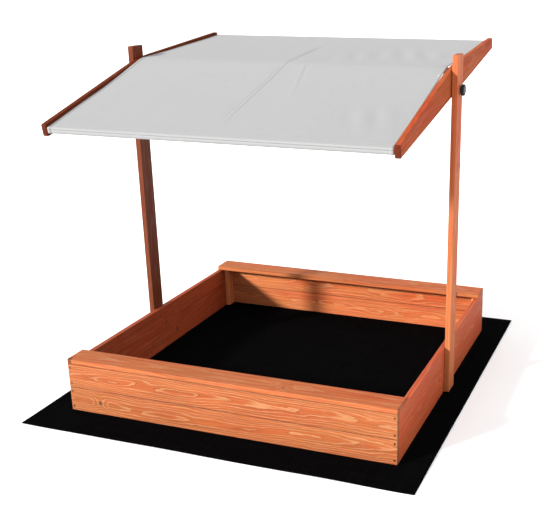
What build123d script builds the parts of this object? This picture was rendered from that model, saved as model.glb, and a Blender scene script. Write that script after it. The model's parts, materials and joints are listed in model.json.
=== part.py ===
# Square wooden sandbox with two seat boards, a ground sheet under it and a tilting sun roof.
# Millimetres. X runs along the front, Y to the back, Z up. The origin is on the ground, at the
# middle of the box. The roof is drawn level and then tilted about its pivot bolts.
import math
import os

from build123d import *

# ---------------------------------------------------------------- driving dimensions
box_width = 1200.0          # over the front boards, along X
box_depth = 1200.0          # over the front and back faces, along Y
board_thickness = 18.0      # wall boards, seat boards and battens
board_height = 88.0         # one of the two boards of a front or back wall
boards_per_wall = 2
seat_width = 90.0
batten_width = 45.0
wood_edge_radius = 2.0      # eased edges of the planed timber

sheet_side_margin = 100.0   # ground sheet beyond the box on the left and on the right
sheet_end_margin = 150.0    # ground sheet beyond the box at the front and at the back
sheet_thickness = 1.0

post_thickness = 20.0       # along X
post_width = 70.0           # along Y
post_length = 1200.0

pivot_height = 1086.0       # pivot axis above the ground
roof_tilt = 10.0            # rear edge up, degrees

beam_length = 1200.0
beam_thickness = 18.0
beam_end_height = 40.0
beam_slope = 5.15           # fall of each half of the gable, degrees
beam_ridge_radius = 1000.0  # rounding of the gable's apex
beam_corner_radius = 5.0    # rounding of the beam's end corners
pivot_above_edge = 18.0     # pivot axis above the beam's lower edge

bar_size = 18.0             # square section of the three roof bars
bar_setback = 4.0           # front face of a hemmed bar behind the beam's end
hem_drop = 9.0              # cloth below the beam's top corner at its ends
cloth_thickness = 1.5
cloth_side_gap = 3.0        # free gap from the cloth's side edge to the beam
cloth_clearance = 0.2       # cloth to bar

bolt_diameter = 8.0
bolt_head_diameter = 20.0
bolt_head_height = 4.5
bolt_neck_length = 4.5      # square part under the head
bolt_chamfer = 1.0
bolt_running_clearance = 0.06   # radial, where the bolt turns
wood_fit_clearance = 0.05       # around pieces that are driven or pressed into wood
washer_diameter = 24.0
washer_thickness = 1.6
washer_bore_clearance = 0.25    # radial
face_clearance = 0.1            # between faces that slide on each other

knob_diameter = 38.0
knob_grip_height = 12.0
knob_neck_diameter = 24.0
knob_neck_height = 3.0
knob_flutes = 8
knob_flute_radius = 6.0
knob_flute_depth = 2.2
knob_edge_radius = 3.0
insert_diameter = 12.0
insert_length = 11.0
insert_flange_diameter = 16.0
insert_flange_height = 2.0
insert_end_wall = 1.5       # closed end of the insert
bolt_end_clearance = 1.0    # bolt's end to the bottom of the insert's bore

screw_diameter = 4.0
screw_head_diameter = 8.0
screw_recess_width = 1.1
screw_recess_length = 4.6
screw_recess_depth = 1.8
screw_sink = 0.6            # head below the wood's face
screw_tip_length = 5.0
wall_screw_length = 40.0
batten_screw_length = 30.0
post_screw_length = 34.0
bar_screw_length = 45.0
screw_edge_distance = 15.0  # from a board's upper and lower edge
batten_screw_shift = 30.0   # batten screws, in from the wall's lower and upper edge
post_screw_spread = 40.0    # across the post, between the two columns of screws
post_screw_shift = 30.0     # post screws, in from the wall's lower and upper edge
nail_diameter = 2.0
nail_length = 45.0
nail_sink = 1.5
nail_tip_length = 4.0
nail_spacing = 280.0        # between the nails into a wall board
nails_along_seat = 4        # into the wall board, plus one into each side board

# ---------------------------------------------------------------- derived places
wall_height = boards_per_wall * board_height
box_floor = sheet_thickness
box_top = box_floor + wall_height
seat_top = box_top + board_thickness
side_x = box_width / 2 - board_thickness / 2        # middle of a side board
front_y = box_depth / 2 - board_thickness / 2       # middle of a front or back board
inner_x = box_width / 2 - board_thickness
inner_y = box_depth / 2 - board_thickness
post_x = box_width / 2 + post_thickness / 2
post_outer_x = box_width / 2 + post_thickness
beam_outer_x = box_width / 2 - washer_thickness - 2 * face_clearance
beam_inner_x = beam_outer_x - beam_thickness
bar_length = 2 * beam_inner_x
hem_top = beam_end_height - hem_drop - pivot_above_edge
hem_bar_top = hem_top - cloth_thickness - cloth_clearance
hem_bar_y = beam_length / 2 - bar_setback - bar_size / 2
apex_height = beam_end_height + math.tan(math.radians(beam_slope)) * beam_length / 2
ridge_rounding = beam_ridge_radius * (1 / math.cos(math.radians(beam_slope)) - 1)
ridge_bar_top = apex_height - ridge_rounding - pivot_above_edge
washer_bore = bolt_diameter + 2 * washer_bore_clearance
knob_base_x = post_outer_x + washer_thickness + 2 * face_clearance
insert_bore_depth = insert_length - insert_end_wall

os.makedirs("parts", exist_ok=True)


def save(node, shape):
    """Write one sub-part."""
    export_step(shape, f"parts/{node}.step")


def save_group(node, solids):
    """Write separate solids that share one node."""
    save(node, Compound(children=solids))


# ---------------------------------------------------------------- timber
def timber(size_x, size_y, size_z, centre):
    """A planed board with eased edges."""
    block = Box(size_x, size_y, size_z)
    block = fillet(block.edges(), wood_edge_radius)
    return Pos(*centre) * block


# ---------------------------------------------------------------- screws and nails
def turned(points):
    """A solid of revolution about Z from its half outline in the XZ plane."""
    return revolve(Plane.XZ * make_face(Polyline(*points, close=True)), Axis.Z)


def screw_body(length, grow=0.0):
    """Countersunk screw along -Z with its head's top at the origin, grown to cut its hole."""
    head = screw_head_diameter / 2 + grow
    shank = screw_diameter / 2 + grow
    cone = head - shank
    reach = length + grow
    return turned([(0, 0), (head, 0), (shank, -cone), (shank, screw_tip_length - reach), (0, -reach)])


def screw(length):
    """The screw itself, with a cross recess in its head."""
    recess = Box(screw_recess_length, screw_recess_width, 2 * screw_recess_depth)
    recess += Rot(0, 0, 90) * recess
    return screw_body(length) - recess


def screw_hole(length):
    """Pilot hole and countersink for one screw, open at the wood's face."""
    sink = Pos(0, 0, screw_sink) * Cylinder(screw_head_diameter / 2 + wood_fit_clearance, 2 * screw_sink)
    return screw_body(length, wood_fit_clearance) + sink


def nail_body(grow=0.0):
    """Finishing nail along -Z with its top at the origin."""
    radius = nail_diameter / 2 + grow
    return turned([(0, 0), (radius, 0), (radius, nail_tip_length - nail_length), (0, -nail_length - grow)])


def nail_hole():
    """Hole of one nail, open at the wood's face."""
    sink = Pos(0, 0, nail_sink) * Cylinder(nail_diameter / 2 + wood_fit_clearance, 2 * nail_sink)
    return nail_body(wood_fit_clearance) + sink


def driven(point, outward, sink):
    """Place of a fastener driven into a face at a point against the face's outward direction."""
    return Plane(origin=point, z_dir=outward).offset(-sink).location


def screws_at(points, outward, length):
    """The screws at the points and the cuts that hold them."""
    places = [driven(point, outward, screw_sink) for point in points]
    solids = [place * screw(length) for place in places]
    cuts = [place * screw_hole(length) for place in places]
    return solids, cuts


def board_rows():
    """Heights of the wall screws: two in each board of a wall."""
    for row in range(boards_per_wall):
        foot = box_floor + row * board_height
        yield foot + screw_edge_distance
        yield foot + board_height - screw_edge_distance


def wall_screws(side):
    """Screws through the ends of the front (-1) or back (1) boards into the side boards."""
    points = [(x, side * box_depth / 2, z) for x in (-side_x, side_x) for z in board_rows()]
    return screws_at(points, (0, side, 0), wall_screw_length)


def batten_rows():
    """Heights of the screws in a corner batten."""
    return box_floor + batten_screw_shift, box_top - batten_screw_shift


def batten_screws():
    """Screws through the corner battens into the side boards."""
    solids = []
    cuts = []
    for side in (-1, 1):
        face_x = side * (inner_x - board_thickness)
        points = [(face_x, y * (inner_y - batten_width / 2), z) for y in (-1, 1) for z in batten_rows()]
        new_solids, new_cuts = screws_at(points, (-side, 0, 0), batten_screw_length)
        solids += new_solids
        cuts += new_cuts
    return solids, cuts


def post_screws(side):
    """Screws from inside the box through a side board into its post."""
    columns = (-post_screw_spread / 2, post_screw_spread / 2)
    rows = (box_floor + post_screw_shift, box_top - post_screw_shift)
    points = [(side * inner_x, y, z) for y in columns for z in rows]
    return screws_at(points, (-side, 0, 0), post_screw_length)


def nail_places(side):
    """Tops of the nails along one seat board: over the wall board and over the two side boards."""
    first = -nail_spacing * (nails_along_seat - 1) / 2
    points = [(first + count * nail_spacing, side * front_y, seat_top) for count in range(nails_along_seat)]
    over_sides = box_depth / 2 - seat_width / 2 - board_thickness / 2
    points += [(x, side * over_sides, seat_top) for x in (-side_x, side_x)]
    return points


def seat_nails():
    """Nails that hold both seat boards down."""
    places = [driven(p, (0, 0, 1), nail_sink) for side in (-1, 1) for p in nail_places(side)]
    return [place * nail_body() for place in places], [place * nail_hole() for place in places]


def bar_screws():
    """Screws through the roof beams into the ends of the three bars, in the level roof."""
    centres = [
        (-hem_bar_y, hem_bar_top - bar_size / 2),
        (0.0, ridge_bar_top - bar_size / 2),
        (hem_bar_y, hem_bar_top - bar_size / 2),
    ]
    solids = []
    cuts = []
    for side in (-1, 1):
        points = [(side * beam_outer_x, y, z) for y, z in centres]
        new_solids, new_cuts = screws_at(points, (side, 0, 0), bar_screw_length)
        solids += new_solids
        cuts += new_cuts
    return solids, cuts


def drilled(wood, cuts):
    """Cut the holes that reach into one piece of timber."""
    space = wood.bounding_box()
    for cut in cuts:
        if space.overlaps(cut.bounding_box()):
            wood = wood - cut
    return wood


# ---------------------------------------------------------------- the roof's place
def tilted(shape):
    """Bring a piece of the level roof, drawn about the pivot axis, to its place."""
    return Pos(0, 0, pivot_height) * Rot(roof_tilt, 0, 0) * shape


# ---------------------------------------------------------------- box
def build_box():
    """Boards, seats, battens and posts with their holes."""
    front_solids, front_cuts = wall_screws(-1)
    back_solids, back_cuts = wall_screws(1)
    batten_solids, batten_cuts = batten_screws()
    left_solids, left_cuts = post_screws(-1)
    right_solids, right_cuts = post_screws(1)
    nail_solids, nail_cuts = seat_nails()
    cuts = front_cuts + back_cuts + batten_cuts + left_cuts + right_cuts + nail_cuts

    for name, side in (("front", -1), ("back", 1)):
        for row, level in enumerate(("lower", "upper")):
            middle = (0, side * front_y, box_floor + (row + 0.5) * board_height)
            board = timber(box_width, board_thickness, board_height, middle)
            save(f"{name}_{level}_board", drilled(board, cuts))
        seat_y = side * (box_depth - seat_width) / 2
        seat = timber(box_width, seat_width, board_thickness, (0, seat_y, seat_top - board_thickness / 2))
        save(f"{name}_seat_board", drilled(seat, cuts))

    for name, side in (("left", -1), ("right", 1)):
        middle = (side * side_x, 0, box_floor + wall_height / 2)
        save(f"{name}_side_board", drilled(timber(board_thickness, 2 * inner_y, wall_height, middle), cuts))
        for end_name, end in (("front", -1), ("back", 1)):
            middle = (
                side * (inner_x - board_thickness / 2),
                end * (inner_y - batten_width / 2),
                box_floor + wall_height / 2,
            )
            batten = timber(board_thickness, batten_width, wall_height, middle)
            save(f"{end_name}_{name}_batten", drilled(batten, cuts))
        middle = (side * post_x, 0, box_floor + post_length / 2)
        post = timber(post_thickness, post_width, post_length, middle)
        bolt_hole = Pos(side * post_x, 0, pivot_height) * Rot(0, 90, 0) * Cylinder(
            bolt_diameter / 2 + bolt_running_clearance, 2 * post_thickness
        )
        save(f"{name}_post", drilled(post, cuts) - bolt_hole)

    save_group("front_wall_screws", front_solids)
    save_group("back_wall_screws", back_solids)
    save_group("batten_screws", batten_solids)
    save_group("left_post_screws", left_solids)
    save_group("right_post_screws", right_solids)
    save_group("seat_nails", nail_solids)


def ground_sheet():
    """The sheet of weed fabric that the box stands on."""
    width = box_width + 2 * sheet_side_margin
    length = box_depth + 2 * sheet_end_margin
    return Pos(0, 0, sheet_thickness / 2) * Box(width, length, sheet_thickness)


# ---------------------------------------------------------------- roof
def beam_outline():
    """Side view of a roof beam about the pivot axis: straight lower edge, gable with a rounded apex."""
    half = beam_length / 2
    low = -pivot_above_edge
    shoulder = beam_end_height - pivot_above_edge
    apex = apex_height - pivot_above_edge
    face = make_face(
        Polyline((-half, low), (half, low), (half, shoulder), (0, apex), (-half, shoulder), close=True)
    )
    face = fillet(face.vertices().sort_by(Axis.Y)[-1], beam_ridge_radius)
    ends = face.vertices().filter_by(lambda vertex: abs(vertex.X) > half - beam_corner_radius)
    return fillet(ends, beam_corner_radius)


def roof_beam(side, cuts):
    """One side beam of the roof with its holes, drilled for the carriage bolt."""
    plane = Plane(origin=(beam_outer_x, 0, 0), x_dir=(0, 1, 0), z_dir=(1, 0, 0))
    beam = extrude(plane * beam_outline(), -beam_thickness)
    flat_faces = beam.faces().filter_by(Axis.X)
    beam = fillet(flat_faces.edges(), wood_edge_radius)
    if side < 0:
        beam = mirror(beam, Plane.YZ)
    neck = bolt_diameter + 2 * wood_fit_clearance
    inner_face = side * beam_inner_x
    square = Pos(inner_face, 0, 0) * Box(2 * bolt_neck_length + 2 * wood_fit_clearance, neck, neck)
    shank = Pos(inner_face, 0, 0) * Rot(0, 90, 0) * Cylinder(
        bolt_diameter / 2 + bolt_running_clearance, 4 * beam_thickness
    )
    return drilled(beam - square - shank, cuts)


def roof_bar(y, top):
    """One square bar between the beams."""
    return timber(bar_length, bar_size, bar_size, (0, y, top - bar_size / 2))


def rectangle(low_y, high_y, low_z, high_z):
    """Face of a rectangle in the side view."""
    return Pos((low_y + high_y) / 2, (low_z + high_z) / 2) * Rectangle(high_y - low_y, high_z - low_z)


def hem_sleeve(end):
    """Side view of the sewn sleeve around the front (-1) or rear (1) bar."""
    reach = bar_size / 2 + cloth_clearance
    middle = hem_bar_top - bar_size / 2
    outer = reach + cloth_thickness
    ring = rectangle(end * hem_bar_y - outer, end * hem_bar_y + outer, middle - outer, middle + outer)
    return ring - rectangle(end * hem_bar_y - reach, end * hem_bar_y + reach, middle - reach, middle + reach)


def roof_cloth():
    """The cloth as one closed sheet over the ridge bar, with a sleeve round each hem bar."""
    hem_outer = hem_bar_y + bar_size / 2 + cloth_clearance + cloth_thickness
    ridge_under = ridge_bar_top + cloth_clearance
    hem_under = hem_top - cloth_thickness
    under = [
        (-hem_outer, hem_under),
        (-bar_size / 2, ridge_under),
        (bar_size / 2, ridge_under),
        (hem_outer, hem_under),
    ]
    over = [(y, z + cloth_thickness) for y, z in reversed(under)]
    outline = make_face(Polyline(*under, *over, close=True))
    outline = outline + hem_sleeve(-1) + hem_sleeve(1)
    half_width = beam_inner_x - cloth_side_gap
    plane = Plane(origin=(-half_width, 0, 0), x_dir=(0, 1, 0), z_dir=(1, 0, 0))
    return extrude(plane * outline, 2 * half_width)


def build_roof():
    """Beams, bars, cloth and the screws between them."""
    solids, cuts = bar_screws()
    for name, side in (("left", -1), ("right", 1)):
        save(f"{name}_roof_beam", tilted(roof_beam(side, cuts)))
    bars = {
        "front_roof_bar": roof_bar(-hem_bar_y, hem_bar_top),
        "ridge_roof_bar": roof_bar(0.0, ridge_bar_top),
        "rear_roof_bar": roof_bar(hem_bar_y, hem_bar_top),
    }
    for node, bar in bars.items():
        save(node, tilted(drilled(bar, cuts)))
    save("roof_fabric", tilted(roof_cloth()))
    save_group("roof_bar_screws", [tilted(solid) for solid in solids])


# ---------------------------------------------------------------- pivots and hand knobs
def standing_rod(radius, height):
    """Cylinder standing on the XY plane."""
    return Cylinder(radius, height, align=(Align.CENTER, Align.CENTER, Align.MIN))


def carriage_bolt():
    """Carriage bolt along +Z, with the underside of its domed head at the origin."""
    dome_radius = (bolt_head_diameter ** 2 / 4 + bolt_head_height ** 2) / (2 * bolt_head_height)
    dome = Pos(0, 0, dome_radius - bolt_head_height) * Sphere(dome_radius)
    head = dome & Pos(0, 0, -bolt_head_height) * standing_rod(bolt_head_diameter, bolt_head_height)
    neck = Box(bolt_diameter, bolt_diameter, bolt_neck_length, align=(Align.CENTER, Align.CENTER, Align.MIN))
    reach = knob_base_x + insert_bore_depth - bolt_end_clearance - beam_inner_x
    shank = standing_rod(bolt_diameter / 2, reach)
    shank = chamfer(shank.edges().sort_by(Axis.Z)[-1], bolt_chamfer)
    return head + neck + shank


def washer():
    """Flat washer standing on the XY plane."""
    disc = standing_rod(washer_diameter / 2, washer_thickness)
    return disc - Cylinder(washer_bore / 2, 3 * washer_thickness)


def knob_insert(grow=0.0):
    """Threaded brass insert along +Z with its flange on the XY plane, grown to cut its seat."""
    flange = standing_rod(insert_flange_diameter / 2 + grow, insert_flange_height + grow)
    return flange + standing_rod(insert_diameter / 2 + grow, insert_length + grow)


def bored_insert():
    """The insert with the blind hole that the bolt turns in."""
    return knob_insert() - standing_rod(bolt_diameter / 2 + bolt_running_clearance, insert_bore_depth)


def hand_knob():
    """Fluted round knob along +Z on a short neck, with a seat for its insert."""
    neck = standing_rod(knob_neck_diameter / 2, knob_neck_height)
    grip = standing_rod(knob_diameter / 2, knob_grip_height)
    flute = Cylinder(knob_flute_radius, 3 * knob_grip_height)
    reach = knob_diameter / 2 + knob_flute_radius - knob_flute_depth
    for place in PolarLocations(reach, knob_flutes):
        grip = grip - place * flute
    grip = fillet(grip.faces().filter_by(Axis.Z).edges(), knob_edge_radius)
    return neck + Pos(0, 0, knob_neck_height) * grip - knob_insert(wood_fit_clearance)


def build_pivots():
    """Bolt, washers, knob and insert at each post, from the left side mirrored to the right."""
    turn = Rot(0, 90, 0)
    for name, side in (("left", -1), ("right", 1)):
        outward = Rot(0, 0, 0) if side > 0 else Rot(0, 0, 180)

        def at(x, shape):
            return outward * Pos(x, 0, 0) * turn * shape

        save(f"{name}_pivot_bolt", tilted(at(beam_inner_x, carriage_bolt())))
        save(f"{name}_spacer_washer", tilted(at(beam_outer_x + face_clearance, washer())))
        level = Pos(0, 0, pivot_height)
        save(f"{name}_knob_washer", level * at(post_outer_x + face_clearance, washer()))
        save(f"{name}_knob", level * at(knob_base_x, hand_knob()))
        save(f"{name}_knob_insert", level * at(knob_base_x, bored_insert()))


save("ground_sheet", ground_sheet())
build_box()
build_roof()
build_pivots()
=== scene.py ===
# %% [markdown]
# # A wooden sandbox with a tilting sun roof
#
# The CAD model already holds every board, screw, bolt and knob at its real size. This lesson gives
# the model its looks: stained pine with grain and knots, a woven roof cloth that hangs between its
# bars, a black ground sheet, metal and moulded plastic. Nothing of the CAD model is moved.

# %% Load the frame
import json
import math

import bmesh
import bpy
import numpy as np
from mathutils import Matrix, Vector, noise
from mathutils.bvhtree import BVHTree


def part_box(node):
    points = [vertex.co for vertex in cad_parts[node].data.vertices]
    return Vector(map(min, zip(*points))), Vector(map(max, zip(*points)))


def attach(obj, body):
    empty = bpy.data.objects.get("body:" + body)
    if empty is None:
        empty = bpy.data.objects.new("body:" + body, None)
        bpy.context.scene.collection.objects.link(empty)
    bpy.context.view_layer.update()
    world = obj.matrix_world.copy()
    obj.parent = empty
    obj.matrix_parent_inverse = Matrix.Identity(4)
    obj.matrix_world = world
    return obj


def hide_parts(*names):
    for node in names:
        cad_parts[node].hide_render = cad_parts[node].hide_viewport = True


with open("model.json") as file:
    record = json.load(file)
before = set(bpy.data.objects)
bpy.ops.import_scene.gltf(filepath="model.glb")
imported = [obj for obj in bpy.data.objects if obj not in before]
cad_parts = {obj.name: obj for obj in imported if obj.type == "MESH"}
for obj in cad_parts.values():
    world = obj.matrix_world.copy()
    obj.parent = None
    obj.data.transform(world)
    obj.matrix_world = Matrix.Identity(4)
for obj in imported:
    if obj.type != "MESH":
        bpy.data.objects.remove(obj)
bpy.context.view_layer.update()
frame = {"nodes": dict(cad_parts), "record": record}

# %% [markdown]
# ## Where the roof is
#
# The roof is drawn tilted, so its cloth is easier to make in a level frame of its own that has the
# pivot axis as its origin. The tilt could be typed in as a number, but it is read from the two hem
# bars instead, so the cloth still fits after the roof's angle changes in the CAD model.

# %% The roof's own frame
def middle(node):
    """Centre of a CAD node's box."""
    low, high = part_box(node)
    return (Vector(low) + Vector(high)) / 2


joints = {joint["name"]: joint for joint in frame["record"]["behaviour"]["joints"]}
pivot = Vector(joints["roof_tilt"]["pos_m"])
front_bar = middle("front_roof_bar")
ridge_bar = middle("ridge_roof_bar")
rear_bar = middle("rear_roof_bar")
roof_tilt = math.atan2(rear_bar.z - front_bar.z, rear_bar.y - front_bar.y)
roof_place = Matrix.Translation(pivot) @ Matrix.Rotation(roof_tilt, 4, "X")
to_level = roof_place.inverted()
print("Roof tilt in degrees:", round(math.degrees(roof_tilt), 2))

# %% Axes that the timber is cut along
right = Vector((1, 0, 0))
back = Vector((0, 1, 0))
up = Vector((0, 0, 1))
roof_back = roof_place.to_3x3() @ back
roof_up = roof_place.to_3x3() @ up

# %% [markdown]
# ## The camera and the light
#
# The camera stands in front of the box, a little to the right and above the roof, and looks down at
# it. The lens is shifted a little sideways, which slides the view across without turning the
# camera. A sun lamp is used for the key light because its shadows keep one direction, and its wide
# angle makes them soft, as from a large studio lamp at the left. A plain white world fills the
# shadows and whitens the floor.

# %% Camera
camera_place = Vector((1.358, -3.053, 1.479))
camera_turn = math.radians(19.57)
camera_drop = math.radians(19.28)
camera_roll = math.radians(-0.27)

camera_data = bpy.data.cameras.new("camera")
camera_data.sensor_width = 36.0
camera_data.lens = 60.2
camera_data.shift_x = -0.15
camera_data.shift_y = 0.057
camera = bpy.data.objects.new("camera", camera_data)
bpy.context.scene.collection.objects.link(camera)
camera.matrix_world = (
    Matrix.Translation(camera_place)
    @ Matrix.Rotation(camera_turn, 4, "Z")
    @ Matrix.Rotation(math.pi / 2 - camera_drop, 4, "X")
    @ Matrix.Rotation(camera_roll, 4, "Z")
)
bpy.context.scene.camera = camera
print("Camera distance to the pivot:", round((camera_place - pivot).length, 2), "m")

# %% Key light and fill
key_azimuth = math.radians(38)      # from the front towards the left
key_elevation = math.radians(21)
key_data = bpy.data.lights.new("key_light", "SUN")
key_data.energy = 8.0
key_data.angle = math.radians(6)
key_data.color = (1.0, 0.97, 0.93)
key_light = bpy.data.objects.new("key_light", key_data)
bpy.context.scene.collection.objects.link(key_light)
towards_key = Vector((
    -math.sin(key_azimuth) * math.cos(key_elevation),
    -math.cos(key_azimuth) * math.cos(key_elevation),
    math.sin(key_elevation),
))
key_light.rotation_euler = towards_key.to_track_quat("Z", "Y").to_euler()

bpy.context.scene.view_settings.view_transform = "Standard"
bpy.context.scene.view_settings.look = "None"

# %% [markdown]
# ## Small helpers for shader nodes
#
# A node tree is wired by hand in the editor. In a script the same work is two moves, making a node
# and linking a socket, so a few short helpers keep the recipes below readable.

# %% Helpers for nodes
def node(tree, kind, inputs=None, **settings):
    """A new node with its settings, its inputs linked to sockets or set to values."""
    made = tree.nodes.new(kind)
    for name, value in settings.items():
        setattr(made, name, value)
    for name, value in (inputs or {}).items():
        feed(tree, made.inputs[name], value)
    return made


def feed(tree, socket, value):
    """Link an input to another node's output, or set it to a value."""
    if isinstance(value, bpy.types.NodeSocket):
        tree.links.new(value, socket)
    else:
        socket.default_value = value


def maths(tree, operation, first, second=0.0, clamp=False):
    """A Math node's output."""
    made = node(tree, "ShaderNodeMath", {0: first, 1: second}, operation=operation, use_clamp=clamp)
    return made.outputs[0]


def vector_maths(tree, operation, first, second=(0.0, 0.0, 0.0)):
    """A Vector Math node's vector output."""
    return node(tree, "ShaderNodeVectorMath", {0: first, 1: second}, operation=operation).outputs[0]


def ramp(tree, value, low, high, to_low=0.0, to_high=1.0):
    """A smooth step of a value from low to high."""
    inputs = {"Value": value, "From Min": low, "From Max": high, "To Min": to_low, "To Max": to_high}
    return node(tree, "ShaderNodeMapRange", inputs, interpolation_type="SMOOTHSTEP").outputs["Result"]


def mixed(tree, factor, first, second, blend="MIX"):
    """A colour mixed from two colours."""
    made = node(tree, "ShaderNodeMix", data_type="RGBA", blend_type=blend)
    for index, value in ((0, factor), (6, first), (7, second)):
        feed(tree, made.inputs[index], value)
    return made.outputs[2]


def noise_of(tree, vector, scale, detail=2.0, roughness=0.5):
    """A Noise Texture node."""
    inputs = {"Vector": vector, "Scale": scale, "Detail": detail, "Roughness": roughness}
    return node(tree, "ShaderNodeTexNoise", inputs)


def new_group(name, inputs, outputs):
    """An empty node group with its sockets, and its input and output nodes."""
    tree = bpy.data.node_groups.new(name, "ShaderNodeTree")
    for in_out, sockets in (("INPUT", inputs), ("OUTPUT", outputs)):
        for socket_name, kind, *default in sockets:
            socket = tree.interface.new_socket(socket_name, in_out=in_out, socket_type=f"NodeSocket{kind}")
            if default:
                socket.default_value = default[0]
    return tree, tree.nodes.new("NodeGroupInput"), tree.nodes.new("NodeGroupOutput")


def place_group(tree, group, inputs):
    """A group placed in a material with its own values."""
    made = tree.nodes.new("ShaderNodeGroup")
    made.node_tree = group
    for name, value in inputs.items():
        feed(tree, made.inputs[name], value)
    return made


def new_material(name):
    """A material with an empty tree, its Principled shader wired to the output."""
    material = bpy.data.materials.new(name)
    material.use_nodes = True
    tree = material.node_tree
    tree.nodes.clear()
    shader = tree.nodes.new("ShaderNodeBsdfPrincipled")
    output = tree.nodes.new("ShaderNodeOutputMaterial")
    tree.links.new(shader.outputs["BSDF"], output.inputs["Surface"])
    return material, tree, shader


def bumped(tree, shader, height, strength, distance):
    """Feed a height into the shader's normal."""
    bump = node(tree, "ShaderNodeBump", {"Height": height, "Strength": strength, "Distance": distance})
    tree.links.new(bump.outputs["Normal"], shader.inputs["Normal"])

# %% [markdown]
# ## The room around the box
#
# A plain white world would fill every shadow alike. A studio has a large reflector on one side, so
# the world here gets brighter high on the right: it lifts the outer faces on that side, while the
# roof keeps it away from the inside of the box, which stays deeper in tone.

# %% World
world = bpy.data.worlds.new("studio")
bpy.context.scene.world = world
world.use_nodes = True
world_tree = world.node_tree
sky_point = world_tree.nodes.new("ShaderNodeTexCoord").outputs["Generated"]
sky_way = node(world_tree, "ShaderNodeSeparateXYZ", {0: sky_point})
reflector = maths(
    world_tree, "MULTIPLY",
    ramp(world_tree, sky_way.outputs["X"], 0.1, 0.6),
    ramp(world_tree, sky_way.outputs["Z"], 0.2, 0.45),
)
world_strength = maths(world_tree, "MULTIPLY_ADD", reflector, 1.1)
world_strength.node.inputs[2].default_value = 1.0
background = world_tree.nodes["Background"]
background.inputs["Color"].default_value = (1.0, 1.0, 1.0, 1.0)
world_tree.links.new(world_strength, background.inputs["Strength"])

# %% [markdown]
# ## Pine as it grows
#
# A pine board is a slice of a trunk. The trunk's rings are cones round the pith, so a board cut
# beside the pith shows long arches and closed eyes wherever the rings bulge. Painting those arches
# one by one would never end. Here the rings are worked out in the board's own coordinates, along
# the grain, across the face and into the wood: the distance from a pith line that wanders, divided
# by the ring width. Knots are cells of a Voronoi texture that push the rings aside. The same rings
# come out at the board's end as end grain, with no extra work.

# %% Node group: growth rings
ring_tree, ring_in, ring_out = new_group(
    "growth rings",
    [
        ("Board Point", "Vector"),
        ("Piece", "Float", 0.0),
        ("Ring Width", "Float", 0.009),
        ("Pith Depth", "Float", 0.03),
        ("Taper", "Float", 0.02),
        ("Wander", "Float", 0.03),
        ("Knot Spacing", "Float", 0.3),
    ],
    [
        ("Late Wood", "Float"), ("Ring Line", "Float"), ("Fibre", "Float"),
        ("Knot", "Float"), ("Tone", "Float"), ("Height", "Float"),
    ],
)
point = ring_in.outputs["Board Point"]
piece_shift = node(
    ring_tree, "ShaderNodeCombineXYZ",
    {
        "X": maths(ring_tree, "MULTIPLY", ring_in.outputs["Piece"], 3.71),
        "Y": maths(ring_tree, "MULTIPLY", ring_in.outputs["Piece"], 1.37),
        "Z": maths(ring_tree, "MULTIPLY", ring_in.outputs["Piece"], 2.19),
    },
).outputs[0]
own_point = vector_maths(ring_tree, "ADD", point, piece_shift)

# Knots: one cell point in each square of the board's face, kept only where its random value is high.
cells = node(
    ring_tree, "ShaderNodeTexVoronoi",
    {
        "Vector": own_point,
        "Scale": maths(ring_tree, "DIVIDE", 1.0, ring_in.outputs["Knot Spacing"]),
        "Randomness": 0.9,
    },
    voronoi_dimensions="2D",
)
knot_reach = maths(ring_tree, "MULTIPLY", cells.outputs["Distance"], ring_in.outputs["Knot Spacing"])
cell_value = node(ring_tree, "ShaderNodeSeparateColor", {"Color": cells.outputs["Color"]}).outputs["Red"]
knot_here = ramp(ring_tree, cell_value, 0.5, 0.62)
knot_size = maths(ring_tree, "MULTIPLY_ADD", cell_value, 0.007)
knot_size.node.inputs[2].default_value = 0.002
knot_edge = maths(ring_tree, "SUBTRACT", knot_reach, knot_size)
knot_core = maths(ring_tree, "MULTIPLY", ramp(ring_tree, knot_edge, 0.0015, -0.001), knot_here)
knot_push = maths(ring_tree, "MULTIPLY", ramp(ring_tree, knot_reach, 0.045, 0.004), knot_here)

# The pith wanders slowly along the board, and a finer wobble makes each ring a little uneven.
slow_point = vector_maths(ring_tree, "MULTIPLY", own_point, (2.6, 7.0, 7.0))
slow = noise_of(ring_tree, slow_point, 1.0, detail=2.5, roughness=0.55)
drift = vector_maths(ring_tree, "SUBTRACT", slow.outputs["Color"], (0.5, 0.5, 0.5))
drift_scale = node(
    ring_tree, "ShaderNodeVectorMath", {0: drift, "Scale": ring_in.outputs["Wander"]}, operation="SCALE"
)
fine_point = vector_maths(ring_tree, "MULTIPLY", own_point, (8.0, 45.0, 45.0))
fine = noise_of(ring_tree, fine_point, 1.0, detail=3.0, roughness=0.6)
drifted = vector_maths(ring_tree, "ADD", point, drift_scale.outputs[0])
split = node(ring_tree, "ShaderNodeSeparateXYZ", {0: drifted})
rise = maths(ring_tree, "MULTIPLY", split.outputs["X"], ring_in.outputs["Taper"])
level_depth = maths(ring_tree, "ADD", split.outputs["Z"], ring_in.outputs["Pith Depth"])
depth = maths(ring_tree, "ADD", level_depth, rise)
across_squared = maths(ring_tree, "POWER", maths(ring_tree, "ABSOLUTE", split.outputs["Y"]), 2.0)
depth_squared = maths(ring_tree, "POWER", maths(ring_tree, "ABSOLUTE", depth), 2.0)
pith_distance = maths(ring_tree, "SQRT", maths(ring_tree, "ADD", across_squared, depth_squared))
rings = maths(ring_tree, "DIVIDE", pith_distance, ring_in.outputs["Ring Width"])
rings = maths(ring_tree, "ADD", rings, maths(ring_tree, "MULTIPLY", knot_push, 1.6))
rings = maths(ring_tree, "ADD", rings, maths(ring_tree, "MULTIPLY", fine.outputs["Fac"], 1.5))
phase = maths(ring_tree, "FRACT", rings)
late_start = ramp(ring_tree, phase, 0.42, 0.72)
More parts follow.
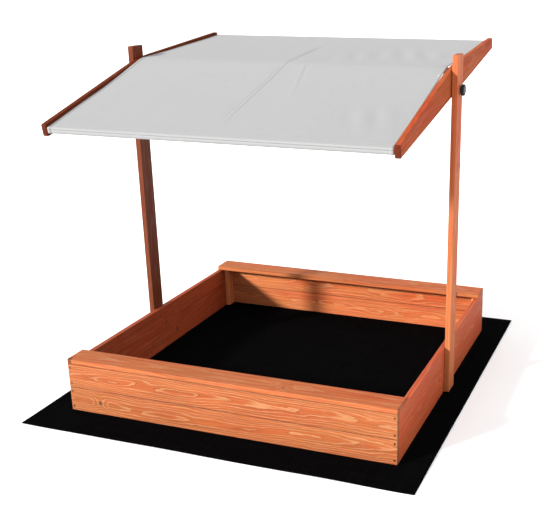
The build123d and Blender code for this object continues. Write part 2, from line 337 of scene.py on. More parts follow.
late_end = ramp(ring_tree, phase, 0.90, 0.80)
late = maths(ring_tree, "MULTIPLY", late_start, late_end)
line_start = ramp(ring_tree, phase, 0.80, 0.90)
line_end = ramp(ring_tree, phase, 1.0, 0.94)
ring_line = maths(ring_tree, "MULTIPLY", line_start, line_end)

# Fibres are noise that is stretched a hundredfold along the grain.
fibre_point = vector_maths(ring_tree, "MULTIPLY", own_point, (3.5, 170.0, 170.0))
fibre = noise_of(ring_tree, fibre_point, 1.0, detail=4.0, roughness=0.68)
tone_point = vector_maths(ring_tree, "MULTIPLY", own_point, (2.4, 11.0, 11.0))
tone = noise_of(ring_tree, tone_point, 1.0, detail=3.0)
height = maths(ring_tree, "ADD", late, maths(ring_tree, "MULTIPLY", fibre.outputs["Fac"], 0.7))
for name, value in (
    ("Late Wood", late),
    ("Ring Line", ring_line),
    ("Fibre", fibre.outputs["Fac"]),
    ("Knot", knot_core),
    ("Tone", tone.outputs["Fac"]),
    ("Height", height),
):
    ring_tree.links.new(value, ring_out.inputs[name])
print("Growth ring group:", len(ring_tree.nodes), "nodes")

# %% [markdown]
# ## Edges and dust
#
# Stain is thinner where a board's edge is rounded, because hands, knees and sandpaper have been
# there, and it sinks deep into the end grain, which turns darker. The lighter edges are also a
# painted highlight, the bright line that a rounded edge catches. On the walls, seats and roof beams
# the long edges are darkened instead: painted shade in the grooves between boards and along the
# beams' edges, where some stain also gathers. A Pointiness mask could find edges, but it needs a
# welded, dense mesh. A board is a box, so its own coordinates tell how near its faces are, and that
# is sharp at any mesh density.

# %% Node group: eased edge
edge_tree, edge_in, edge_out = new_group(
    "eased edge",
    [
        ("Board Point", "Vector"),
        ("Half Size", "Vector"),
        ("Reach", "Float", 0.003),
        ("End Depth", "Float", 0.001),
    ],
    [("Long Edge", "Float"), ("End Edge", "Float"), ("End Face", "Float")],
)
distance = vector_maths(edge_tree, "ABSOLUTE", edge_in.outputs["Board Point"])
inside = vector_maths(edge_tree, "SUBTRACT", edge_in.outputs["Half Size"], distance)
sides = node(edge_tree, "ShaderNodeSeparateXYZ", {0: inside})
near = [ramp(edge_tree, sides.outputs[axis], edge_in.outputs["Reach"], 0.0) for axis in "XYZ"]
near_along, near_across, near_into = near
long_edge = maths(edge_tree, "MULTIPLY", near_across, near_into)
edge_tree.links.new(long_edge, edge_out.inputs["Long Edge"])
end_sides = maths(edge_tree, "MULTIPLY", near_along, near_across)
end_rims = maths(edge_tree, "MULTIPLY", near_along, near_into)
end_edge = maths(edge_tree, "ADD", end_sides, end_rims, clamp=True)
edge_tree.links.new(end_edge, edge_out.inputs["End Edge"])
end_depth = edge_in.outputs["End Depth"]
end_start = maths(edge_tree, "MULTIPLY", end_depth, 1.5)
edge_tree.links.new(ramp(edge_tree, sides.outputs["X"], end_start, end_depth), edge_out.inputs["End Face"])

# %% Node group: dust
dust_tree, dust_in, dust_out = new_group(
    "dust",
    [("Point", "Vector"), ("Amount", "Float", 0.3), ("Size", "Float", 0.05)],
    [("Dust", "Float")],
)
dust_scale = maths(dust_tree, "DIVIDE", 1.0, dust_in.outputs["Size"])
dust_cloud = noise_of(dust_tree, dust_in.outputs["Point"], dust_scale, detail=6.0, roughness=0.62)
dust_mask = ramp(dust_tree, dust_cloud.outputs["Fac"], 0.45, 0.75)
dust_share = maths(dust_tree, "MULTIPLY", dust_mask, dust_in.outputs["Amount"])
dust_tree.links.new(dust_share, dust_out.inputs["Dust"])

# %% [markdown]
# ## Stained pine
#
# The stain soaks into the soft early wood and leaves the hard late wood pale, so the arches are
# lighter than the ground. Every board gets a material of its own from one recipe, because each has
# its own grain direction, its own slice of the trunk and a slightly different stain. The left side
# board, the left post and the left roof beam are also made much darker and redder than the same
# pieces on the right: that is painted shade, because their faces in view turn away from the key light.

# %% Stain colours
orange_stain = (0.320, 0.092, 0.029, 1.0)
red_stain = (0.310, 0.046, 0.014, 1.0)
pale_grain = (0.410, 0.195, 0.088, 1.0)
ring_dark = (0.180, 0.050, 0.020, 1.0)
dark_knot = (0.085, 0.026, 0.013, 1.0)
# Lighter edge colour: stain worn off the rounded edges, and also a painted highlight of the sky along them.
worn_edge_and_highlight = (0.420, 0.200, 0.115, 1.0)
# Dark long-edge colour: painted shade in the grooves between boards and along the beams' edges, with some
# stain gathered there.
painted_seam_shade = (0.060, 0.018, 0.009, 1.0)
end_grain = (0.065, 0.012, 0.005, 1.0)
dust_pale = (0.360, 0.260, 0.190, 1.0)


def stained_pine(
    name, board, piece, tone, pale, red, ring_width, pith, wander,
    seam=0.0, end_depth=0.001, end_dark=0.35, gloss=0.09,
):
    """Stained pine for one board, in that board's own coordinates."""
    material, tree, shader = new_material(name)
    coordinates = tree.nodes.new("ShaderNodeTexCoord")
    turn = node(
        tree, "ShaderNodeMapping",
        {"Vector": coordinates.outputs["Object"], "Location": board["shift"], "Rotation": board["turn"]},
    ).outputs[0]
    wood = place_group(tree, ring_tree, {
        "Board Point": turn, "Piece": piece, "Ring Width": ring_width, "Pith Depth": pith,
        "Wander": wander, "Taper": 0.018,
    })
    edge = place_group(tree, edge_tree, {
        "Board Point": turn, "Half Size": board["half"], "End Depth": end_depth,
    })
    dust = place_group(tree, dust_tree, {"Point": coordinates.outputs["Object"], "Amount": 0.05})
    patches = wood.outputs["Tone"]
    redder = ramp(tree, patches, 0.3, 0.7, max(2 * red - 1, 0.0), min(2 * red, 1.0))
    colour = mixed(tree, redder, orange_stain, red_stain)
    late_share = maths(tree, "MULTIPLY", wood.outputs["Late Wood"], 0.85 * pale)
    colour = mixed(tree, late_share, colour, pale_grain)
    line_strength = ramp(tree, patches, 0.35, 0.65, 0.15 * pale, 0.75 * pale)
    line_share = maths(tree, "MULTIPLY", wood.outputs["Ring Line"], line_strength)
    colour = mixed(tree, line_share, colour, ring_dark)
    # tone scales the whole colour; its low values on the left side board, left post and left roof beam are
    # painted shade.
    streak = ramp(tree, wood.outputs["Fibre"], 0.32, 0.68, 0.80 * tone, 1.18 * tone)
    grey = node(tree, "ShaderNodeCombineColor", {"Red": streak, "Green": streak, "Blue": streak}).outputs[0]
    colour = mixed(tree, 1.0, colour, grey, blend="MULTIPLY")
    colour = mixed(tree, maths(tree, "MULTIPLY", wood.outputs["Knot"], 0.85), colour, dark_knot)
    # End edges are lightened: worn stain and a painted highlight.
    colour = mixed(tree, maths(tree, "MULTIPLY", edge.outputs["End Edge"], 0.25), colour, worn_edge_and_highlight)
    colour = mixed(tree, maths(tree, "MULTIPLY", edge.outputs["End Face"], end_dark), colour, end_grain)
    # Long edges: painted shade where seam is set (walls, seats, roof beams), otherwise worn stain with a
    # painted highlight.
    long_edge = maths(tree, "MULTIPLY", edge.outputs["Long Edge"], max(seam, 0.25))
    colour = mixed(tree, long_edge, colour, painted_seam_shade if seam else worn_edge_and_highlight)
    colour = mixed(tree, dust.outputs["Dust"], colour, dust_pale)
    tree.links.new(colour, shader.inputs["Base Color"])
    roughness = ramp(tree, wood.outputs["Late Wood"], 0.0, 1.0, 0.60, 0.48)
    tree.links.new(maths(tree, "ADD", roughness, dust.outputs["Dust"]), shader.inputs["Roughness"])
    shader.inputs["Specular IOR Level"].default_value = gloss
    bumped(tree, shader, wood.outputs["Height"], 0.35, 0.0006)
    return material

# %% Board coordinates
def board_frame(name, grain, across):
    """Turn, shift and half size that bring a board's points along the grain, across and into the wood."""
    into = grain.cross(across)
    axes = Matrix((grain, across, into))
    mesh = frame["nodes"][name].data
    points = np.empty(len(mesh.vertices) * 3)
    mesh.vertices.foreach_get("co", points)
    points = points.reshape(-1, 3) @ np.array(axes).T
    low, high = points.min(axis=0), points.max(axis=0)
    centre = (low + high) / 2
    return {"turn": axes.to_euler(), "shift": tuple(-centre), "half": tuple((high - low) / 2)}


def dress(name, material):
    """Give a CAD node one material."""
    mesh = frame["nodes"][name].data
    mesh.materials.clear()
    mesh.materials.append(material)


# %% Boards, seats, battens and posts
front_wall = ["front_lower_board", "front_upper_board"]
back_wall = ["back_lower_board", "back_upper_board"]
seats = ["front_seat_board", "back_seat_board"]
battens = [f"{end}_{side}_batten" for end in ("front", "back") for side in ("left", "right")]
bars = ["front_roof_bar", "ridge_roof_bar", "rear_roof_bar"]
# seam sets how strongly painted shade darkens the long edges of these boards.
wall_wood = {"ring_width": 0.0065, "pith": 0.012, "wander": 0.05, "seam": 0.85}
seat_wood = {"ring_width": 0.008, "pith": 0.05, "wander": 0.02, "seam": 0.6}
side_wood = {"ring_width": 0.008, "pith": 0.055, "wander": 0.025}
post_wood = {"ring_width": 0.005, "pith": 0.06, "wander": 0.012}
beam_wood = {
    "ring_width": 0.006, "pith": 0.05, "wander": 0.015, "seam": 0.4,
    "end_depth": 0.004, "end_dark": 0.95, "gloss": 0.02,
}

timber = {}
# The low tone and high red of the left side board, left post and left roof beam are painted shade, the same
# wood as on the right made darker and redder.
for names, grain, across, tone, pale, red, wood in (
    (front_wall, right, up, 0.81, 0.80, 0.20, wall_wood),
    (back_wall, right, up, 1.12, 0.50, 0.42, wall_wood),
    (seats, right, back, 0.97, 0.35, 0.30, seat_wood),
    (["left_side_board"], back, up, 0.80, 0.12, 0.95, side_wood),
    (["right_side_board"], back, up, 1.08, 0.15, 0.85, side_wood),
    (battens, up, back, 1.65, 0.70, 0.10, post_wood),
    (["left_post"], up, back, 0.33, 0.25, 0.80, post_wood),
    (["right_post"], up, back, 1.08, 0.25, 0.45, post_wood),
    (["left_roof_beam"], roof_back, roof_up, 0.25, 0.20, 0.90, beam_wood),
    (["right_roof_beam"], roof_back, roof_up, 0.80, 0.05, 0.62, beam_wood),
    (bars, right, roof_back, 1.0, 0.40, 0.40, post_wood),
):
    for name in names:
        piece = len(timber) + 1.0
        board = board_frame(name, grain, across)
        timber[name] = stained_pine(f"pine_{name}", board, piece, tone=tone, pale=pale, red=red, **wood)
        dress(name, timber[name])
print("Boards stained:", len(timber))

# %% [markdown]
# ## Metal and moulded plastic
#
# The screws are bronzed, the pivot bolts and washers zinc plated, and the knobs are moulded in a
# black plastic with a fine spark-eroded skin. All are small, so a little noise in roughness and
# height is enough to take away the look of a computer's perfect surface.

# %% Materials for metal and plastic
def rough_solid(name, colour, other, metal, low, high, grain_size, height, dust_share=0.12, gloss=0.5):
    """A solid with two near colours, a roughness from low to high and a fine grain."""
    material, tree, shader = new_material(name)
    coordinates = tree.nodes.new("ShaderNodeTexCoord").outputs["Object"]
    patch = noise_of(tree, coordinates, 0.4 / grain_size, detail=4.0).outputs["Fac"]
    grain = noise_of(tree, coordinates, 1.0 / grain_size, detail=3.0).outputs["Fac"]
    dust = place_group(tree, dust_tree, {"Point": coordinates, "Amount": dust_share, "Size": 0.012})
    colour = mixed(tree, ramp(tree, patch, 0.35, 0.65), colour, other)
    colour = mixed(tree, dust.outputs["Dust"], colour, (0.35, 0.31, 0.27, 1.0))
    tree.links.new(colour, shader.inputs["Base Color"])
    tree.links.new(ramp(tree, patch, 0.3, 0.7, low, high), shader.inputs["Roughness"])
    shader.inputs["Metallic"].default_value = metal
    shader.inputs["Specular IOR Level"].default_value = gloss
    bumped(tree, shader, grain, 0.3, height)
    return material


zinc = rough_solid(
    "zinc_plate", (0.55, 0.56, 0.55, 1), (0.42, 0.43, 0.44, 1), 1.0, 0.28, 0.45, 0.0012, 0.0001
)
bronzed = rough_solid(
    "bronzed_screw", (0.22, 0.120, 0.070, 1), (0.12, 0.065, 0.040, 1), 1.0, 0.4, 0.6, 0.001, 0.0001
)
black_plastic = rough_solid(
    "black_plastic", (0.007, 0.007, 0.009, 1), (0.013, 0.013, 0.016, 1), 0.0, 0.38, 0.52, 0.0007, 0.00012,
    dust_share=0.02, gloss=0.2,
)
brass = rough_solid(
    "brass_insert", (0.60, 0.42, 0.17, 1), (0.46, 0.31, 0.12, 1), 1.0, 0.25, 0.4, 0.0012, 0.0001
)

metal_and_plastic = {
    "bronzed_steel": bronzed, "zinc_steel": zinc, "black_plastic": black_plastic, "brass_insert": brass,
}
for subpart in frame["record"]["subparts"]:
    if subpart["material_slot"] in metal_and_plastic:
        dress(subpart["node"], metal_and_plastic[subpart["material_slot"]])

# %% [markdown]
# ## Woven cloth
#
# Cloth is threads that go over and under each other. The roof's cloth and the ground sheet are both
# plain weaves, one of thin yarn and one of flat plastic tape, so one group makes both. It reads the
# cloth's own UV map, in metres along the two threads, so the weave follows every fold.

# %% Node group: plain weave
weave_tree, weave_in, weave_out = new_group(
    "plain weave",
    [("Cloth Point", "Vector"), ("Pitch", "Float", 0.001), ("Slub", "Float", 0.02)],
    [("Height", "Float"), ("Thread", "Float"), ("Streak", "Float")],
)
per_metre = maths(weave_tree, "DIVIDE", 1.0, weave_in.outputs["Pitch"])
threads = node(
    weave_tree, "ShaderNodeVectorMath",
    {0: weave_in.outputs["Cloth Point"], "Scale": per_metre}, operation="SCALE",
).outputs[0]
counts = node(weave_tree, "ShaderNodeSeparateXYZ", {0: threads})
over = node(weave_tree, "ShaderNodeTexChecker", {"Vector": threads, "Scale": 1.0}).outputs["Fac"]
arches = []
for axis in "XY":
    along_thread = maths(weave_tree, "MULTIPLY", maths(weave_tree, "FRACT", counts.outputs[axis]), math.pi)
    arches.append(maths(weave_tree, "SINE", along_thread))
warp = maths(weave_tree, "MULTIPLY", arches[0], over)
weft = maths(weave_tree, "MULTIPLY", arches[1], maths(weave_tree, "SUBTRACT", 1.0, over))
thread_height = maths(weave_tree, "ADD", warp, weft)
slub_size = maths(weave_tree, "DIVIDE", 1.0, weave_in.outputs["Slub"])
streaks = []
for stretch in ((1.0, 0.04, 1.0), (0.04, 1.0, 1.0)):
    stretched = vector_maths(weave_tree, "MULTIPLY", weave_in.outputs["Cloth Point"], stretch)
    slub_point = node(
        weave_tree, "ShaderNodeVectorMath", {0: stretched, "Scale": slub_size}, operation="SCALE"
    )
    streaks.append(noise_of(weave_tree, slub_point.outputs[0], 6.0, detail=4.0, roughness=0.7).outputs["Fac"])
streak = maths(weave_tree, "MULTIPLY", maths(weave_tree, "ADD", streaks[0], streaks[1]), 0.5)
for name, value in (("Height", thread_height), ("Thread", over), ("Streak", streak)):
    weave_tree.links.new(value, weave_out.inputs[name])


def woven(name, light, dark, pitch, slub, roughness, specular, height):
    """Cloth of a plain weave between two thread colours."""
    material, tree, shader = new_material(name)
    cloth_point = node(tree, "ShaderNodeUVMap", uv_map="cut").outputs["UV"]
    weave = place_group(tree, weave_tree, {"Cloth Point": cloth_point, "Pitch": pitch, "Slub": slub})
    soil = place_group(tree, dust_tree, {"Point": cloth_point, "Amount": 0.35, "Size": 0.35})
    factor = ramp(tree, weave.outputs["Streak"], 0.35, 0.65)
    colour = mixed(tree, factor, dark, light)
    # The hollows between the threads are darkened: painted shade in the weave.
    gap_shade = ramp(tree, weave.outputs["Height"], 0.0, 0.6, 0.18, 0.0)
    colour = mixed(tree, gap_shade, colour, tuple(value * 0.45 for value in dark[:3]) + (1.0,))
    colour = mixed(tree, maths(tree, "MULTIPLY", soil.outputs["Dust"], 0.5), colour, dark)
    tree.links.new(colour, shader.inputs["Base Color"])
    smoother = ramp(tree, weave.outputs["Height"], 0.0, 1.0, roughness, roughness - 0.08)
    tree.links.new(smoother, shader.inputs["Roughness"])
    shader.inputs["Specular IOR Level"].default_value = specular
    bumped(tree, shader, weave.outputs["Height"], 0.35, height)
    return material, shader


roof_cloth, roof_shader = woven(
    "roof_cloth", (0.234, 0.238, 0.243, 1), (0.211, 0.215, 0.221, 1), 0.0011, 0.012, 0.9, 0.15, 0.0002
)
roof_shader.inputs["Sheen Weight"].default_value = 0.06
hem_cloth, _ = woven(
    "hem_cloth", (0.235, 0.237, 0.238, 1), (0.210, 0.212, 0.213, 1), 0.0011, 0.012, 0.9, 0.15, 0.0002
)
ground_cloth, _ = woven(
    "ground_cloth", (0.0019, 0.0019, 0.0022, 1), (0.0007, 0.0007, 0.0009, 1), 0.0026, 0.05, 1.0, 0.008, 0.0002
)

# %% [markdown]
# ## The roof cloth
#
# On the real roof one rectangle of cloth runs over the ridge bar and ends in a sewn sleeve round
# the front bar and another round the rear bar. Its side edges are free. It could be drawn as two
# flat panels, but cloth sags between its bars and keeps creases from its packing. So a flat grid is
# laid over the bars, a cloth simulation lets it hang, and the creases are pushed in afterwards.

# %% Sizes of the cloth
bar_half = 0.009
cloth_off_bar = 0.0006
beam_gap = 0.0025
level_front = to_level @ front_bar
level_ridge = to_level @ ridge_bar
level_rear = to_level @ rear_bar
cloth_half_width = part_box("right_roof_beam")[0][0] - beam_gap
hem_height = level_front.z + bar_half + cloth_off_bar
ridge_height = level_ridge.z + bar_half + cloth_off_bar
hem_reach = level_rear.y + bar_half
columns, rows = 96, 96
print("Cloth between its hems:", round(2 * cloth_half_width, 3), "x", round(2 * hem_reach, 3), "m")


# %% Lay a flat grid over the bars
def over_the_bars(y):
    """Height of the tight cloth above the pivot axis at a distance from the ridge."""
    beyond = max(abs(y) - bar_half, 0.0)
    return ridge_height + (hem_height - ridge_height) * beyond / (hem_reach - bar_half)


def laid_cloth():
    """The cloth's grid over the bars, in the level roof frame, with its flat cut as UV map."""
    bm = bmesh.new()
    bmesh.ops.create_grid(bm, x_segments=columns, y_segments=rows, size=1.0)
    bmesh.ops.scale(bm, vec=(cloth_half_width, hem_reach, 1.0), verts=bm.verts)
    cut = bm.loops.layers.uv.new("cut")
    for face in bm.faces:
        for loop in face.loops:
            loop[cut].uv = loop.vert.co.xy
    for vert in bm.verts:
        vert.co.z = over_the_bars(vert.co.y)
    return bm


def put(bm, name):
    """A new object from a bmesh."""
    mesh = bpy.data.meshes.new(name)
    bm.to_mesh(mesh)
    bm.free()
    made = bpy.data.objects.new(name, mesh)
    bpy.context.scene.collection.objects.link(made)
    return made


cloth = put(laid_cloth(), "roof_cloth")
print("Grid:", len(cloth.data.polygons), "faces")

# %% [markdown]
# The pins are the rows of the grid that lie on a bar or close beside one. Everything between them
# is free. A cloth that is as long as the way over the bars sags too much once its threads stretch,
# so it is shrunk by about a thousandth, which pulls it taut. A few millimetres of sag are left,
# most of them at the free side edges.

# %% Let it hang
hang_frames = 25
tight_share = 0.0012        # the cloth's threads are this much shorter than the way over the bars
held_beside_ridge = 0.006


def hang(piece, frames, shrink):
    """Simulate the cloth under gravity with the rows on the bars held, and keep the result."""
    held = piece.vertex_groups.new(name="held")
    on_bar = [
        vert.index for vert in piece.data.vertices
        if abs(vert.co.y) < bar_half + held_beside_ridge or abs(vert.co.y) > hem_reach - 2 * bar_half
    ]
    held.add(on_bar, 1.0, "REPLACE")
    cloth_modifier = piece.modifiers.new("hang", "CLOTH")
    settings = cloth_modifier.settings
    settings.quality = 6
    settings.mass = 0.012           # of one point of the grid, not of the whole cloth
    settings.tension_stiffness = 120
    settings.compression_stiffness = 40
    settings.shear_stiffness = 8
    settings.bending_stiffness = 0.6
    settings.shrink_min = shrink
    settings.vertex_group_mass = "held"
    cloth_modifier.collision_settings.use_collision = False
    cloth_modifier.point_cache.frame_end = frames
    for step in range(1, frames + 1):
        bpy.context.scene.frame_set(step)
    hung = bpy.data.meshes.new_from_object(piece.evaluated_get(bpy.context.evaluated_depsgraph_get()))
    piece.modifiers.clear()
    piece.data = hung
    piece.vertex_groups.clear()
    bpy.context.scene.frame_set(1)


before = np.array([vert.co.z for vert in cloth.data.vertices])
hang(cloth, hang_frames, tight_share)
after = np.array([vert.co.z for vert in cloth.data.vertices])
print("Deepest sag:", round(float((before - after).max()) * 1000, 1), "mm")

# %% [markdown]
# ## Creases and soft waves
#
# The cloth was folded in half for its packing, so a straight crease runs along its middle, over the
# ridge and almost to both hems. It is a narrow raised line with a shallow valley beside it, and the
# grid is cut finer there, because a fold narrower than a face would be lost. A short wrinkle starts
# at the ridge beside it. Wider, softer waves come from smooth noise, short ripples gather in the
# few places where the cloth is loose, and both fade out at the bars, where it is held.

# %% Push the creases in
def crease(path, at, height, width):
    """Height of a crease at a place in the cut; path is (place, strength) from end to end."""
    best = 0.0
    for (start, strong_start), (end, strong_end) in zip(path, path[1:]):
        line = end - start
        share = (at - start).dot(line) / line.length_squared
        if -0.02 <= share <= 1.02:
            offset = (at - start).cross(line) / line.length
            strength = strong_start + (strong_end - strong_start) * min(max(share, 0.0), 1.0)
            ridge = math.exp(-(offset / width) ** 2)
            valley = math.exp(-((offset + 1.8 * width) / (1.3 * width)) ** 2)
            value = height * strength * (ridge - 0.6 * valley)
            if abs(value) > abs(best):
                best = value
    return best


middle_fold = [
    (Vector((-0.002, -0.54)), 0.0),
    (Vector((-0.004, -0.42)), 0.7),
    (Vector((0.001, -0.14)), 1.0),
    (Vector((0.002, 0.03)), 0.8),
    (Vector((-0.010, 0.26)), 1.0),
    (Vector((-0.018, 0.46)), 0.0),
]
side_wrinkle = [
    (Vector((0.078, -0.02)), 1.0),
    (Vector((0.106, -0.15)), 0.7),
    (Vector((0.133, -0.28)), 0.1),
]
loose_places = [
    (Vector((0.20, 0.14)), 0.08),
    (Vector((0.33, 0.27)), 0.11),
    (Vector((0.44, 0.20)), 0.09),
    (Vector((0.45, -0.42)), 0.08),
]
fold_middle = -0.008
fold_finer_half = 0.030     # half of the strip along the fold that gets a finer grid


def fade_at_bars(y):
    """One between the bars and zero on them."""
    share = min(abs(y) / hem_reach, 1.0)
    return math.sin(math.pi * share) ** 0.7


def refine_and_crease(piece):
    """Cut the hung cloth's faces finer, smooth them, then push in creases and waves."""
    bm = bmesh.new()
    bm.from_mesh(piece.data)
    bmesh.ops.subdivide_edges(bm, edges=bm.edges, cuts=1, use_grid_fill=True)
    across_fold = []
    for edge in bm.edges:
        start, end = (vert.co for vert in edge.verts)
        by_the_fold = all(abs(at.x - fold_middle) < fold_finer_half for at in (start, end))
        if by_the_fold and abs(start.x - end.x) > abs(start.y - end.y):
            across_fold.append(edge)
    bmesh.ops.subdivide_edges(bm, edges=across_fold, cuts=2, use_grid_fill=True)
    for _ in range(2):
        inner = [vert for vert in bm.verts if not vert.is_boundary and abs(vert.co.y) > 3 * bar_half]
        bmesh.ops.smooth_vert(bm, verts=inner, factor=0.5, use_axis_z=True)
    for vert in bm.verts:
        at = vert.co.xy
        wave = noise.noise(Vector((at.x * 3.0, at.y * 3.4, 2.7)))
        ripple = noise.noise(Vector((at.x * 9.0 + 4.0, at.y * 4.0, 8.1)))
        soft = 0.0030 * wave + 0.0012 * ripple
        for place, reach in loose_places:
            near = math.exp(-((at - place).length / reach) ** 2)
            soft += 0.0018 * near * math.sin(at.x * 70.0 + at.y * 22.0)
        folds = crease(middle_fold, at, 0.0023, 0.0036) + crease(side_wrinkle, at, 0.0017, 0.0050)
        if abs(at.y) < 3 * bar_half:
            folds = max(folds, 0.0)
        vert.co.z += soft * fade_at_bars(at.y) + folds
    bm.to_mesh(piece.data)
    bm.free()


refine_and_crease(cloth)
print("Creased cloth:", len(cloth.data.polygons), "faces")

# %% [markdown]
# ## Hem sleeves
#
# Each sleeve is the same sheet carried on round its bar. In the editor one would select the edge
# row and extrude it again and again, and this does the same with the edges at the front and at the
# rear. The steps are the sides of the bar with its corners cut. A shallow groove runs along the
# outer side, where a line of stitching pulls the cloth in, and the last step lies flat under the
# sheet, where the seam is. One fault is left: the edge row is already level with the outer face of
# the bar when the first corner moves it out, so each sleeve lies 1.6 millimetres too far out, and
# the bar shows through the cloth on its inner side.

# %% Sew a sleeve
def sleeve_steps(end):
    """Moves in Y and Z that carry the edge row round the bar at the front (-1) or rear (1)."""
    corner = 0.0022
    side = 2 * bar_half + 2 * cloth_off_bar - 2 * corner
    pinch = 0.0009
    down = [(end * corner, -corner), (0.0, -0.20 * side)]
    groove = [(-end * pinch, -0.06 * side), (0.0, -0.03 * side), (end * pinch, -0.06 * side)]
    down += groove + [(0.0, -0.30 * side), (0.0, -0.35 * side)]
    under = [(-end * corner, -corner)] + [(-end * side / 2, 0.0)] * 2
    rise = [(-end * corner, corner)] + [(0.0, side / 2 + 0.0004)] * 2
    return down + under + rise + [(-end * 0.0015, corner - 0.0006), (-end * 0.006, 0.0007)]


def sew_sleeve(bm, cut, end):
    """Extrude the edge row at one end round its bar."""
    row = [
        edge for edge in bm.edges
        if edge.is_boundary and all(end * vert.co.y > hem_reach - 0.0004 for vert in edge.verts)
    ]
    reached = hem_reach
    for move_y, move_z in sleeve_steps(end):
        result = bmesh.ops.extrude_edge_only(bm, edges=row)["geom"]
        new_verts = [item for item in result if isinstance(item, bmesh.types.BMVert)]
        new_faces = [item for item in result if isinstance(item, bmesh.types.BMFace)]
        new_edges = [item for item in result if isinstance(item, bmesh.types.BMEdge)]
        fresh = set(new_verts)
        row = [edge for edge in new_edges if edge.is_boundary and all(vert in fresh for vert in edge.verts)]
        bmesh.ops.translate(bm, verts=new_verts, vec=(0.0, move_y, move_z))
        start = reached
        reached += math.hypot(move_y, move_z)
        for face in new_faces:
            face.material_index = 1
            for loop in face.loops:
                loop[cut].uv = (loop.vert.co.x, end * (reached if loop.vert in fresh else start))


bm = bmesh.new()
bm.from_mesh(cloth.data)
cut_layer = bm.loops.layers.uv["cut"]
for end in (-1, 1):
    sew_sleeve(bm, cut_layer, end)
bmesh.ops.recalc_face_normals(bm, faces=bm.faces)
top = max(bm.faces, key=lambda face: face.calc_center_median().z)
if top.normal.z < 0:
    bmesh.ops.reverse_faces(bm, faces=bm.faces)
bmesh.ops.transform(bm, matrix=roof_place, verts=bm.verts)
for face in bm.faces:
    face.smooth = True
bm.to_mesh(cloth.data)
bm.free()
cloth.data.materials.clear()
cloth.data.materials.append(roof_cloth)
cloth.data.materials.append(hem_cloth)
thickness = cloth.modifiers.new("cloth_thickness", "SOLIDIFY")
thickness.thickness = 0.0007
thickness.offset = 1.0
print("Cloth with sleeves:", len(cloth.data.polygons), "faces")

# %% [markdown]
# ## Hems along the sides
#
# The cloth's side edges are turned under and sewn, so they look like a slightly thicker band. Each
# band is copied from the cloth's own outermost column of faces, so it follows every wave of the
# edge, and it is lifted by the thickness of the turned cloth.

# %% Side hems
side_hem_width = 0.0145
side_hem_lift = 0.0008


def side_hem(side):
    """A band along one side edge, made from the cloth's own outer faces."""
    bm = bmesh.new()
    bm.from_mesh(cloth.data)
    cut = bm.loops.layers.uv["cut"]
    inner = []
    for face in bm.faces:
        reach = min(side * loop[cut].uv.x for loop in face.loops)
        if face.material_index == 1 or reach < cloth_half_width - side_hem_width:
            inner.append(face)
    bmesh.ops.delete(bm, geom=inner, context="FACES")
    bm.normal_update()
    for vert in bm.verts:
        vert.co += vert.normal * side_hem_lift
    for face in bm.faces:
        face.material_index = 0
    name = "left_side_hem" if side < 0 else "right_side_hem"
    hem = put(bm, name)
    hem.data.materials.clear()
    hem.data.materials.append(hem_cloth)
    band = hem.modifiers.new("hem_thickness", "SOLIDIFY")
    band.thickness = 0.0003
    band.offset = 0.0
    return hem


side_hems = [side_hem(side) for side in (-1, 1)]

# %% [markdown]
# ## Stitches
#
# One row of stitches closes each sleeve and one holds each side hem. A stitch is only four
# millimetres long, but rows of them tell the eye how large the cloth is. There are over a thousand,
# so each is the plainest ball, stretched along its row and set on the cloth under it.

# %% Sew the rows
stitch_pitch = 0.0045
stitch_half_size = (0.0016, 0.0004, 0.0003)     # along the row, across it and out of the cloth
stitch_lift = 0.0010


def sew(bm, surface, start, end):
    """A row of stitches from start to end over the cloth, in the level frame."""
    along = (end - start).normalized()
    count = int((end - start).length / stitch_pitch)
    for number in range(count + 1):
        over = roof_place @ (start + along * stitch_pitch * number + up * 0.2)
        place, normal, _, _ = surface.ray_cast(over, -roof_up)
        if place is None:
            continue
        made = bmesh.ops.create_icosphere(bm, subdivisions=1, radius=1.0)["verts"]
        way = (roof_place.to_3x3() @ along).normalized()
        side = normal.cross(way).normalized()
        half_long, half_wide, half_high = stitch_half_size
        turn = Matrix((way * half_long, side * half_wide, normal * half_high)).transposed().to_4x4()
        bmesh.ops.transform(bm, matrix=Matrix.Translation(place + normal * stitch_lift) @ turn, verts=made)


cloth_bm = bmesh.new()
cloth_bm.from_mesh(cloth.data)
cloth_surface = BVHTree.FromBMesh(cloth_bm)
cloth_bm.free()
bm = bmesh.new()
sleeve_row = hem_reach - 2 * bar_half - 0.003
side_row = cloth_half_width - 0.012
for end in (-1, 1):
    row_start = Vector((0.004 - cloth_half_width, end * sleeve_row, hem_height))
    sew(bm, cloth_surface, row_start, Vector((cloth_half_width - 0.004, end * sleeve_row, hem_height)))
    side_start = Vector((end * side_row, -sleeve_row, 0.0))
    sew(bm, cloth_surface, side_start, Vector((end * side_row, sleeve_row, 0.0)))
for face in bm.faces:
    face.smooth = True
print("Stitches:", len(bm.faces) // 20)
stitches = put(bm, "roof_stitches")
thread, thread_tree, thread_shader = new_material("sewing_thread")
thread_point = thread_tree.nodes.new("ShaderNodeTexCoord").outputs["Object"]
thread_twist = noise_of(thread_tree, thread_point, 1500.0, detail=2.0).outputs["Fac"]
thread_colour = mixed(thread_tree, thread_twist, (0.30, 0.30, 0.30, 1), (0.42, 0.42, 0.41, 1))
thread_tree.links.new(thread_colour, thread_shader.inputs["Base Color"])
thread_tree.links.new(ramp(thread_tree, thread_twist, 0.3, 0.7, 0.6, 0.8), thread_shader.inputs["Roughness"])
bumped(thread_tree, thread_shader, thread_twist, 0.4, 0.0001)
stitches.data.materials.append(thread)

# %% The pieces of the roof cloth ride on the roof
for piece in [cloth, stitches] + side_hems:
    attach(piece, "roof_frame")
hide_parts("roof_fabric")

# %% [markdown]
# ## The ground sheet
#
# Under the box lies a black woven sheet that keeps weeds out and lets rain through. The box presses
# it flat, and outside the box it lies loosely, so its border lifts a few millimetres here and there.
# It is a flat grid whose points are raised by smooth noise, which is zero under the timber.

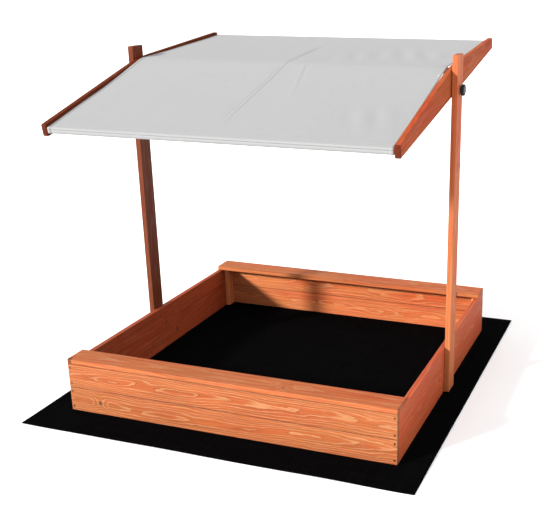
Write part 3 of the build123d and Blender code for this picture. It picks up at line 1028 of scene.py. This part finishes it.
# %% Lay the ground sheet
sheet_low, sheet_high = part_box("ground_sheet")
box_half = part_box("front_lower_board")[1][0]
sheet_half = ((sheet_high.x - sheet_low.x) / 2, (sheet_high.y - sheet_low.y) / 2)
sheet_thickness = 0.0008

bm = bmesh.new()
bmesh.ops.create_grid(bm, x_segments=140, y_segments=150, size=1.0)
bmesh.ops.scale(bm, vec=(sheet_half[0], sheet_half[1], 1.0), verts=bm.verts)
cut_layer = bm.loops.layers.uv.new("cut")
for face in bm.faces:
    face.smooth = True
    for loop in face.loops:
        loop[cut_layer].uv = loop.vert.co.xy
for vert in bm.verts:
    outside = max(abs(vert.co.x) - (box_half + 0.03), abs(vert.co.y) - (box_half + 0.03), 0.0)
    loose = min(outside / 0.08, 1.0) ** 1.5
    wave = 0.5 + 0.5 * noise.noise(Vector((vert.co.x * 4.0, vert.co.y * 4.0, 5.5)))
    vert.co.z = 0.0001 + 0.006 * loose * wave
ground_cloth_piece = put(bm, "ground_cloth")
ground_cloth_piece.data.materials.append(ground_cloth)
ground_thickness = ground_cloth_piece.modifiers.new("cloth_thickness", "SOLIDIFY")
ground_thickness.thickness = sheet_thickness
ground_thickness.offset = 1.0
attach(ground_cloth_piece, "box_frame")
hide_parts("ground_sheet")
print("Ground sheet:", round(2 * sheet_half[0], 3), "x", round(2 * sheet_half[1], 3), "m")

# %% [markdown]
# ## The studio floor
#
# A large pale sheet of floor, made from one face. Its colour varies a very little so that the soft
# shadow under the box doesn't look printed.

# %% Floor
bm = bmesh.new()
bmesh.ops.create_grid(bm, x_segments=1, y_segments=1, size=150.0)
floor = put(bm, "studio_floor")
floor_material, floor_tree, floor_shader = new_material("pale_floor")
floor_point = floor_tree.nodes.new("ShaderNodeTexCoord").outputs["Object"]
floor_patch = noise_of(floor_tree, floor_point, 1.2, detail=3.0).outputs["Fac"]
floor_colour = mixed(floor_tree, floor_patch, (0.86, 0.86, 0.86, 1), (0.88, 0.88, 0.88, 1))
floor_tree.links.new(floor_colour, floor_shader.inputs["Base Color"])
floor_shader.inputs["Roughness"].default_value = 0.9
floor_shader.inputs["Specular IOR Level"].default_value = 0.1
floor.data.materials.append(floor_material)
